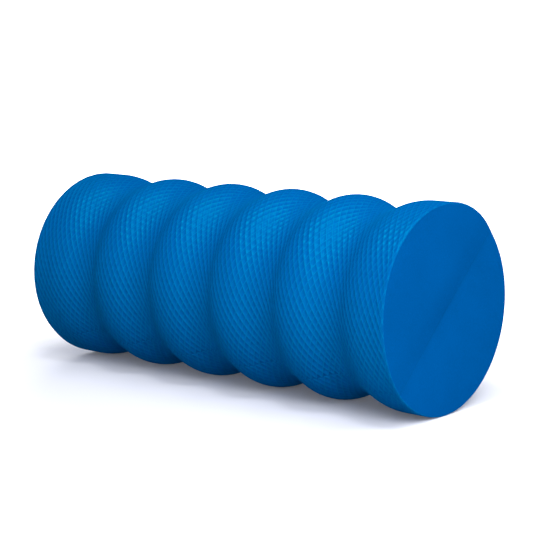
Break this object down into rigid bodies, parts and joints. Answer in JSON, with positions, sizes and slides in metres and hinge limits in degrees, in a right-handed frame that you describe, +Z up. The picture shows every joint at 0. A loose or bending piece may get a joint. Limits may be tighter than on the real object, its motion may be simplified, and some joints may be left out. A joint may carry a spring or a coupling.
{
  "type": "foam roller",
  "caption": "Solid foam massage roller with a wavy outline of rounded ridges and grooves, a diamond-embossed side and smooth ends; it rolls under the back, legs or feet.",
  "frame": {"origin": "on the floor below the middle of the roller, which lies on its ridges", "axes": "+X along the roller's axis, +Z up, +Y across; the plane on which the two halves meet holds the axis and rises towards +Y"},
  "size_m": [0.329, 0.14, 0.14],
  "materials": {
    "embossed_skin": "satin moulded foam skin with a fine raised diamond net",
    "smooth_skin": "matt moulded foam skin, smooth with a very fine grain",
    "foam_core": "matt closed-cell foam",
    "bond": "dull cured contact adhesive, tinted like the foam"
  },
  "bodies": {
    "root": {"core_half_upper": "foam_core", "core_half_lower": "foam_core", "core_bond_film": "bond", "side_skin_upper": "embossed_skin", "side_skin_lower": "embossed_skin", "end_skin_near_upper": "smooth_skin", "end_skin_near_lower": "smooth_skin", "end_skin_far_upper": "smooth_skin", "end_skin_far_lower": "smooth_skin"}
  },
  "joints": []
}
